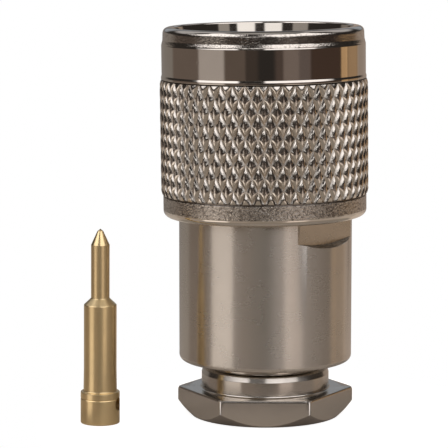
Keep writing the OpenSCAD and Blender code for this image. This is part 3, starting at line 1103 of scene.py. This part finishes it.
@dataclass
class ClampNut(Piece):
    """Hexagonal clamp nut with collar, relief groove and threaded shank."""

    body: str = "clamp"
    hex_af: float = 15.0
    hex_h: float = 2.7
    bevel: float = 1.3
    bevel_h: float = 1.26
    # Width and height of the flatter turn inside the bevel
    foot: float = 0.4
    foot_h: float = 0.075
    # Guard rings beside the curve where bevel and sides meet, and below the upper edge
    bevel_guards: tuple[float, ...] = (-0.09, -0.04, 0.04, 0.09)
    side_guard: float = 0.25
    corner_round: float = 0.12
    # Shares of a round corner's half angle at which the rings have a vertex
    corner_shares: tuple[float, ...] = (0.35, 0.7, 1.0, 1.6)
    # Break of the hexagon's upper edge, and how far its corners are worn back there
    edge: float = 0.07
    edge_share: float = 0.3
    corner_wear: Triple = (0.1, 0.16, 0.22)
    # Ends of the stretch where the corners are worn to a bright line, from the bevel's top
    # and from the hexagon's
    bright_inset: Point = (0.015, 0.04)
    collar_r: float = 6.3
    collar_h: float = 2.0
    collar_bevel: float = 0.5
    collar_draw: float = 0.15
    # How far the face around the collar is drawn with its fillet
    collar_ledge: float = 1.0
    collar_fillet: float = 0.18
    relief_r: float = 5.35
    relief_w: float = 1.5
    shank_r: float = 5.95
    pitch: float = 0.75
    thread_depth: float = 0.42
    # Where the thread's rings begin and end, beside relief and end face
    thread_inset: Point = (0.12, 0.02)
    root_step: float = 0.1
    bore_r: float = 4.0
    segments: int = 252

    def _hex_radius(self, a: float) -> float:
        """The hexagon's side, with rounded corners.

        Args:
            a: Angle around the axis, 0 at a corner.
        Returns:
            Distance from the axis.
        """
        corner = self.hex_af / math.sqrt(3)
        rho = self.corner_round
        centre = corner - rho / math.cos(math.pi / 6)
        off = abs((a + math.pi / 6) % (math.pi / 3) - math.pi / 6)
        tangent = math.atan2(rho / 2, centre + rho * math.cos(math.pi / 6))
        if off < tangent:
            across = centre * math.sin(off)
            return centre * math.cos(off) + math.sqrt(rho * rho - across * across)
        return self.hex_af / 2 / math.cos(math.pi / 6 - off)

    def build(self) -> None:
        """Builds the clamp nut as one closed mesh and dresses it."""
        top = span("clamp_nut")[1]
        collar_top = self.hex_h + self.collar_h
        thread_low = collar_top + self.relief_w
        root_r = self.shank_r - self.thread_depth
        corner = self.hex_af / math.sqrt(3)
        foot = corner - self.bevel
        slope = self.bevel_h / self.bevel
        tangent = math.atan2(self.corner_round / 2, corner)
        corners = [k * math.pi / 3 + way * tangent * s
                   for k in range(6) for way in (-1, 1) for s in self.corner_shares]
        angles = full_circle(self.segments, [*corners, *(k * math.pi / 3 for k in range(6))])

        def side(down: float, inward: float, wear: float = 0.0) -> Place:
            """A ring on the side, down from its top, drawn in by edge break and wear."""
            return lambda a: (min(self._hex_radius(a) - inward, corner - wear),
                              self.hex_h - down)

        def bevel_line(offset: float) -> Place:
            """The curve where the turned bevel meets the hexagon's sides.

            Args:
                offset: How far above it a guard ring lies, or below it if negative.
            Returns:
                The ring's place by angle.
            """
            def place(a: float) -> Point:
                """Place on the curve, shifted by the offset."""
                r = self._hex_radius(a)
                z = self.foot_h + (r - foot) * slope
                return (r, z + offset) if offset > 0 else (r + offset, z + offset * slope)
            return place

        edge, partly = self.edge, self.edge * self.edge_share
        wear = self.corner_wear
        hexagon = [
            *all_round([(self.bore_r, 0.0), (foot - self.foot, 0.0), (foot, self.foot_h)]),
            *(bevel_line(offset) for offset in self.bevel_guards),
            side(self.side_guard, 0.0), side(edge, 0.0, wear[0]),
            side(partly, partly, wear[1]), side(0.0, edge, wear[2])]
        collar = (Outline().to(self.collar_r + self.collar_ledge, self.hex_h)
                  .to(self.collar_r, self.hex_h, self.collar_fillet)
                  .to(self.collar_r, collar_top - self.collar_bevel, CRISP)
                  .to(self.collar_r - self.collar_draw, collar_top, CRISP)
                  .to(self.relief_r, collar_top, SOFT).to(self.relief_r, thread_low, SOFT)
                  .to(root_r, thread_low + self.root_step))
        thread = Thread(root_r, self.shank_r, self.pitch, thread_low, top)
        turns = thread.heights(thread_low + self.thread_inset[0], top - self.thread_inset[1])
        form = Form()
        form.closed([*hexagon, *all_round(collar.points(5)),
                     *(lambda a, z=z: (thread.radius(a, z), z) for z in turns),
                     *all_round([(root_r - self.root_step, top), (self.bore_r, top)])], angles)
        low, high = self.bright_inset
        bright = (self.foot_h + self.bevel_h + low, self.hex_h - high)
        self.dress(form.mesh("clamp_nut_hexagon"), replace(CLAMP_PLATE, worn=bright),
                   "nickel_clamp", "clamp_nut")


@dataclass
class CentreContact(Piece):
    """Gilded contact pin that stands beside the plug."""

    body: str = "clamp"
    flange_r: float = 1.91
    flange_h: float = 3.13
    line_z: float = 2.44
    line_depth: float = 0.05
    line_half: float = 0.07
    # What the body is thicker at its neck, and the length over which it loses that
    neck_more: float = 0.04
    neck_l: float = 2.2
    body_r: float = 1.59
    shoulder_z: float = 11.65
    shoulder_h: float = 0.65
    tip_r: float = 0.9
    tip_l: float = 5.2
    point_r: float = 0.28
    point_l: float = 0.22
    pot_r: float = 0.95
    pot_depth: float = 5.0
    pot_cone: float = 0.5
    hole_r: float = 0.65
    hole_z: float = 1.95
    hole_turn: float = math.radians(-15)
    drill_l: float = 3.0
    drill_segments: int = 48
    lean_degrees: float = 0.45
    segments: int = 160

    def build(self) -> None:
        """Builds the contact, cuts its solder hole, leans it on its burr and dresses it."""
        low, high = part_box("centre_contact")
        place = ((low.x + high.x) / 2 / MM, (low.y + high.y) / 2 / MM, 0.0)
        top = high.z / MM
        shoulder_top = self.shoulder_z + self.shoulder_h
        cone_z = shoulder_top + self.tip_l
        outline = (Outline().to(self.pot_r, 0.0, CRISP).to(self.flange_r, 0.0, 0.08)
                   .to(self.flange_r, self.line_z - self.line_half, 0.02)
                   .to(self.flange_r - self.line_depth, self.line_z)
                   .to(self.flange_r, self.line_z + self.line_half, 0.02)
                   .to(self.flange_r, self.flange_h, BROKEN)
                   .to(self.body_r + self.neck_more, self.flange_h, 0.3)
                   .to(self.body_r, self.flange_h + self.neck_l, 2.0)
                   .to(self.body_r, self.shoulder_z, 0.12)
                   .to(self.tip_r, shoulder_top, BROKEN)
                   .to(self.tip_r, cone_z, 0.12)
                   .to(self.point_r, top - self.point_l, 0.2).to(0.0, top)
                   .to(0.0, self.pot_depth + self.pot_cone).to(self.pot_r, self.pot_depth))
        form = Form()
        form.turned(outline.points(6), full_circle(self.segments))
        contact = form.mesh("contact_pin", place)
        drill = Form()
        drill.turned([(0.0, 0.0), (self.hole_r, 0.0), (self.hole_r, self.drill_l),
                      (0.0, self.drill_l)], full_circle(self.drill_segments))
        cutter = drill.mesh("solder_drill", (*place[:2], self.hole_z))
        cutter.rotation_euler = (0.0, math.pi / 2, self.hole_turn)
        cut(contact, cutter)
        lift = self.flange_r * math.sin(math.radians(self.lean_degrees))
        lean(contact, self.lean_degrees, 0.0, (0.0, 0.0, lift))
        self.dress(contact, GILDING, "gold", "centre_contact")


@dataclass
class OuterContact(Piece):
    """Slotted contact sleeve, front bead and face gasket inside the coupling nut."""

    body: str = "plug"
    sleeve_r: float = 4.1
    bore_r: float = 3.5
    foot_r: float = 4.6
    # How far the foot stands out of the gasket
    foot_proud: float = 0.15
    root_r: float = 4.98
    slots: int = 4
    slot_w: float = 0.5
    slot_l: float = 6.0
    # Length of the saw, and how far it reaches out of the sleeve
    saw_l: float = 12.0
    saw_over: float = 1.0
    bead_r: float = 3.48
    bead_rear_r: float = 4.68
    bead_hole_r: float = 1.61
    pocket_r: float = 1.93
    pocket_top: float = 3.15
    gasket_r: float = 7.1
    gasket_play: float = 0.05
    segments: int = 168

    def build(self) -> None:
        """Builds the three pieces and dresses them."""
        low, high = span("outer_contact")
        seat, gasket_top = span("face_gasket")
        foot_top = gasket_top + self.foot_proud
        form = Form()
        outline = (Outline().to(self.bore_r, low, CRISP).to(self.root_r, low, 0.08)
                   .to(self.root_r, seat, CRISP).to(self.foot_r, seat, CRISP)
                   .to(self.foot_r, foot_top, 0.08).to(self.sleeve_r, foot_top, CRISP)
                   .to(self.sleeve_r, high, 0.16).to(self.bore_r, high, 0.16))
        form.turned(outline.points(4), full_circle(self.segments))
        sleeve = form.mesh("contact_sleeve")
        for k in range(self.slots // 2):
            saw = _block((self.saw_l, self.slot_w, self.slot_l + self.saw_over))
            saw.rotation_euler = (0.0, 0.0, (k + 0.5) * FULL_TURN / self.slots)
            saw.location = (0.0, 0.0, (high - self.slot_l / 2 + self.saw_over / 2) * MM)
            cut(sleeve, saw)
        self.dress(sleeve, SLEEVE_PLATE, "silver_contact", "outer_contact")
        self._bead(low)
        hole_r = self.foot_r + self.gasket_play
        gasket = Form()
        gasket.turned(Outline().to(hole_r, seat, BROKEN).to(self.gasket_r, seat, SOFT)
                      .to(self.gasket_r, gasket_top, 0.3).to(hole_r, gasket_top, 0.2).points(5),
                      full_circle(self.segments))
        self.dress(gasket.mesh("face_seal"), SILICONE, "silicone", "face_gasket")

    def _bead(self, sleeve_low: float) -> None:
        """Builds the white bead that the centre contact goes through.

        Args:
            sleeve_low: Height of the sleeve's rear end, where the bead gets wider.
        """
        rear, front = span("front_insulator")
        bead = Form()
        bead.turned(Outline().to(self.pocket_r, rear, CRISP)
                    .to(self.bead_rear_r, rear, BROKEN).to(self.bead_rear_r, sleeve_low)
                    .to(self.bead_r, sleeve_low).to(self.bead_r, front, SOFT)
                    .to(self.bead_hole_r, front, BROKEN)
                    .to(self.bead_hole_r, rear + self.pocket_top)
                    .to(self.pocket_r, rear + self.pocket_top).points(4),
                    full_circle(self.segments))
        self.dress(bead.mesh("white_bead"), PTFE, "ptfe", "front_insulator")


def _block(size: Triple) -> bpy.types.Object:
    """A plain cutter block around the origin.

    Args:
        size: Its sizes along X, Y and Z, in millimetres.
    Returns:
        The block.
    """
    data = bpy.data.meshes.new("saw")
    work = bmesh.new()
    bmesh.ops.create_cube(work, size=1.0)
    for v in work.verts:
        v.co = [c * s * MM for c, s in zip(v.co, size)]
    work.to_mesh(data)
    work.free()
    made = bpy.data.objects.new("saw", data)
    bpy.context.scene.collection.objects.link(made)
    return made


@dataclass
class InnerParts:
    """Pieces inside the plug whose CAD solids stay as they are."""

    finishes: dict[str, Finish] = field(default_factory=lambda: {
        "thrust_washer": BRASS, "cable_gasket": RUBBER, "braid_clamp": INNER_PLATE,
        "rear_insulator": PTFE, "retaining_ring": BRONZE})

    def dress(self) -> None:
        """Gives each inner piece its finish."""
        for node, finish in self.finishes.items():
            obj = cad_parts[node]
            made = finish.material()
            if not obj.data.materials:
                obj.data.materials.append(made)
            for k in range(len(obj.material_slots)):
                obj.material_slots[k].material = made
            log.info("%s: CAD solid, %s", node, finish.name)


# ---------------------------------------------------------------- stage


@dataclass(frozen=True)
class Panel:
    """A soft light panel or dark card of the studio, far from the object.

    Azimuth is in degrees from the front, positive to the right, and elevation in degrees
    above the horizon.
    """

    name: str
    azimuth: Point
    elevation: Point
    colour: Colour
    soft_across: float = 4.0
    soft_up: float = 6.0


# Elevations of the walls around the table, the small windows, the softboxes, their wings
# and the lights behind
WALL: Point = (-32, -1)
WINDOW: Point = (9, 16)
BOX: Point = (17, 64)
WING: Point = (21, 64)
REAR: Point = (28, 66)
# Light that several panels share
SKY_LIGHT: Colour = (0.30, 0.33, 0.37)
WINDOW_LIGHT: Colour = (1.3, 1.3, 1.35)
DIM_LIGHT: Colour = (0.35, 0.33, 0.32)
LEFT_LIGHT: Colour = (1.62, 1.6, 1.68)
RIGHT_LIGHT: Colour = (1.56, 1.54, 1.62)
REAR_LIGHT: Colour = (0.5, 0.5, 0.53)
# Azimuth straight behind; a panel that passes it on both sides goes all the way round
BACK = 180

PANELS = (
    # Ground beyond the table
    Panel("ground", (-200, 200), (-95, -12), (0.29, 0.255, 0.22), 4.0, 8.0),
    # What stands around at the height of the plug, from the left to the right
    Panel("far_left", (-200, -123), (-32, 6), (0.22, 0.20, 0.185), 6.0, 5.0),
    Panel("left_wall", (-123, -77.5), WALL, (0.13, 0.10, 0.085), 5.0, 4.0),
    Panel("left_strip", (-77.5, -44.5), WALL, (0.43, 0.39, 0.375), 4.0, 4.0),
    Panel("left_dark", (-44.5, -20), WALL, (0.10, 0.075, 0.062), 4.0, 4.0),
    Panel("front_left", (-20, -6), WALL, (0.03, 0.02, 0.015), 6.0, 4.0),
    Panel("front_right", (13, 22), WALL, (0.06, 0.04, 0.033), 6.0, 4.0),
    Panel("right_strip", (22, 40), WALL, (0.18, 0.143, 0.13), 4.0, 4.0),
    Panel("right_dim", (40, 54), WALL, (0.11, 0.085, 0.08), 4.0, 4.0),
    Panel("right_dark", (54, 97), WALL, (0.035, 0.014, 0.006), 8.0, 4.0),
    Panel("warm_edge", (97, 108), (-8, -1), (0.55, 0.35, 0.18), 3.0, 4.0),
    Panel("warm_card", (108, 131), (-8, -1), (0.38, 0.245, 0.135), 8.0, 4.0),
    Panel("far_right", (131, 200), (-32, 6), (0.32, 0.26, 0.22), 5.0, 5.0),
    # Pale sky behind, which surfaces that look up mirror
    Panel("sky_left", (-200, -152), (8, 24), SKY_LIGHT, 12.0, 4.0),
    Panel("sky_right", (152, 200), (8, 24), SKY_LIGHT, 12.0, 4.0),
    # Gleam of the walls on the table, which only the lower pieces mirror to the front
    Panel("left_gleam", (-76, -44), (-30, -6.5), (0.54, 0.50, 0.47), 4.0, 2.5),
    Panel("right_gleam", (26, 50), (-30, -6.5), (0.56, 0.50, 0.47), 7.0, 2.5),
    Panel("side_gleam", (50, 98), (-30, -6), (0.13, 0.125, 0.12), 8.0, 3.0),
    Panel("far_gleam", (98, 134), (-30, -7.5), (0.24, 0.20, 0.17), 8.0, 2.0),
    # Small windows above the walls
    Panel("window_left", (-25, -2), WINDOW, WINDOW_LIGHT, 3.0, 2.0),
    Panel("window_right", (11, 35), WINDOW, WINDOW_LIGHT, 3.0, 2.0),
    Panel("dim_left", (-62, -40), WINDOW, DIM_LIGHT, 3.0, 2.0),
    Panel("dim_right", (46, 62), WINDOW, DIM_LIGHT, 3.0, 2.0),
    # Large soft lights
    Panel("left_softbox", (-82, -30), BOX, LEFT_LIGHT, 5.0, 5.0),
    Panel("right_softbox", (1, 62), BOX, RIGHT_LIGHT, 5.0, 5.0),
    Panel("left_wing", (-96, -82), WING, LEFT_LIGHT, 5.0, 5.0),
    Panel("right_wing", (62, 88), WING, RIGHT_LIGHT, 5.0, 5.0),
    Panel("rear_left", (-162, -112), REAR, REAR_LIGHT, 8.0, 10.0),
    Panel("rear_right", (112, 162), REAR, REAR_LIGHT, 8.0, 10.0),
    Panel("ceiling", (-200, 200), (72, 95), (0.42, 0.42, 0.43), 4.0, 16.0),
)


@dataclass
class Studio:
    """Pale floor, soft panels around the object, and the camera."""

    floor_r: float = 22.5
    floor_low: float = -2.0
    floor_top: float = -0.02
    floor_segments: int = 128
    floor_colour: Colour = (0.49, 0.435, 0.375)
    # Fineness of the floor's grain, and the shade of its darker grains
    grain_scale: float = 900.0
    grain_shade: float = 0.98
    # White that the floor shows to the camera on top of its own shade
    floor_lift: float = 0.9
    # Shares of the floor's and the backdrop's white which mirrors and glass see
    floor_share: float = 0.03
    backdrop_share: float = 0.012
    room: Colour = (0.022, 0.018, 0.016)
    camera_place: Triple = (0.0, -240.17, 51.44)
    camera_pitch: float = math.radians(90 - 7.711)
    camera_yaw: float = 0.017
    lens: float = 197.73
    sensor: float = 36.0
    near_m: float = 0.01

    def build(self) -> None:
        """Makes the floor, the world and the camera."""
        self._floor()
        self._world()
        self._camera()

    def _seen(self, shader: Shader, share: float) -> Field:
        """How much of a white surface or backdrop a ray sees.

        Args:
            shader: The tree that the node goes into.
            share: What mirrors and glass see of it.
        Returns:
            1 for the camera, the share for mirrors and glass, and 0 for the rest.
        """
        path = shader.node("ShaderNodeLightPath")
        camera, glossy, through = (path.other(name) for name in (
            "Is Camera Ray", "Is Glossy Ray", "Is Transmission Ray"))
        return camera + (glossy + through) * share

    def _floor(self) -> None:
        """A round pale table top that keeps the object's shadow."""
        form = Form()
        form.turned([(0.0, self.floor_low), (self.floor_r, self.floor_low),
                     (self.floor_r, self.floor_top), (0.0, self.floor_top)],
                    full_circle(self.floor_segments))
        table = form.mesh("pale_table")
        made = bpy.data.materials.new("pale_table_top")
        shader = Shader(made)
        place = shader.node("ShaderNodeTexCoord", output="Object")
        grain = shader.noise(place, self.grain_scale, 3.0, 0.6)
        darker = tuple(c * self.grain_shade for c in self.floor_colour)
        colour = shader.mix(grain, self.floor_colour, darker)
        matt = shader.node("ShaderNodeBsdfDiffuse", {"Color": colour})
        seen = self._seen(shader, self.floor_share)
        lift = shader.node("ShaderNodeEmission", {
            "Color": (1, 1, 1, 1), "Strength": seen * self.floor_lift})
        both = shader.node("ShaderNodeAddShader", {0: matt, 1: lift})
        shader.node("ShaderNodeOutputMaterial", {"Surface": both})
        table.data.materials.append(made)

    def _world(self) -> None:
        """Soft panels and dark cards by direction; white for the camera."""
        world = bpy.data.worlds.new("studio")
        bpy.context.scene.world = world
        shader = Shader(world)
        x, y, z = shader.parts(shader.node("ShaderNodeTexCoord", output="Generated"))
        degree = 180 / math.pi
        azimuth = x.math("ARCTAN2", y * -1.0) * degree
        elevation = z.math("ARCSINE") * degree
        total: Colour | Field = self.room
        for panel in PANELS:
            reach = elevation.window(*panel.elevation, panel.soft_up)
            if panel.azimuth[0] > -BACK or panel.azimuth[1] < BACK:
                reach = reach * azimuth.window(*panel.azimuth, panel.soft_across)
            glow = shader.vector("SCALE", panel.colour, Scale=reach)
            total = shader.vector("ADD", total, glow)
        seen = self._seen(shader, self.backdrop_share).math("MINIMUM", 1.0)
        shade = shader.mix(seen, total, (1.0, 1.0, 1.0))
        back = shader.node("ShaderNodeBackground", {"Color": shade, "Strength": 1.0})
        shader.node("ShaderNodeOutputWorld", {"Surface": back})

    def _camera(self) -> None:
        """The camera that looks at the plug from the front and a little above."""
        data = bpy.data.cameras.new("front_camera")
        data.lens = self.lens
        data.sensor_width = self.sensor
        data.clip_start = self.near_m
        camera = bpy.data.objects.new("front_camera", data)
        camera.location = Vector(self.camera_place) * MM
        camera.rotation_euler = (self.camera_pitch, 0.0, self.camera_yaw)
        bpy.context.scene.collection.objects.link(camera)
        bpy.context.scene.camera = camera


def main() -> None:
    """Builds the sub-assemblies in order."""
    logging.basicConfig(level=logging.INFO, format="%(name)s: %(message)s")
    bpy.context.scene.view_settings.view_transform = "Standard"
    Studio().build()
    ClampNut().build()
    Housing().build()
    OuterContact().build()
    CouplingNut().build()
    CentreContact().build()
    InnerParts().dress()


if __name__ == "__main__":
    main()
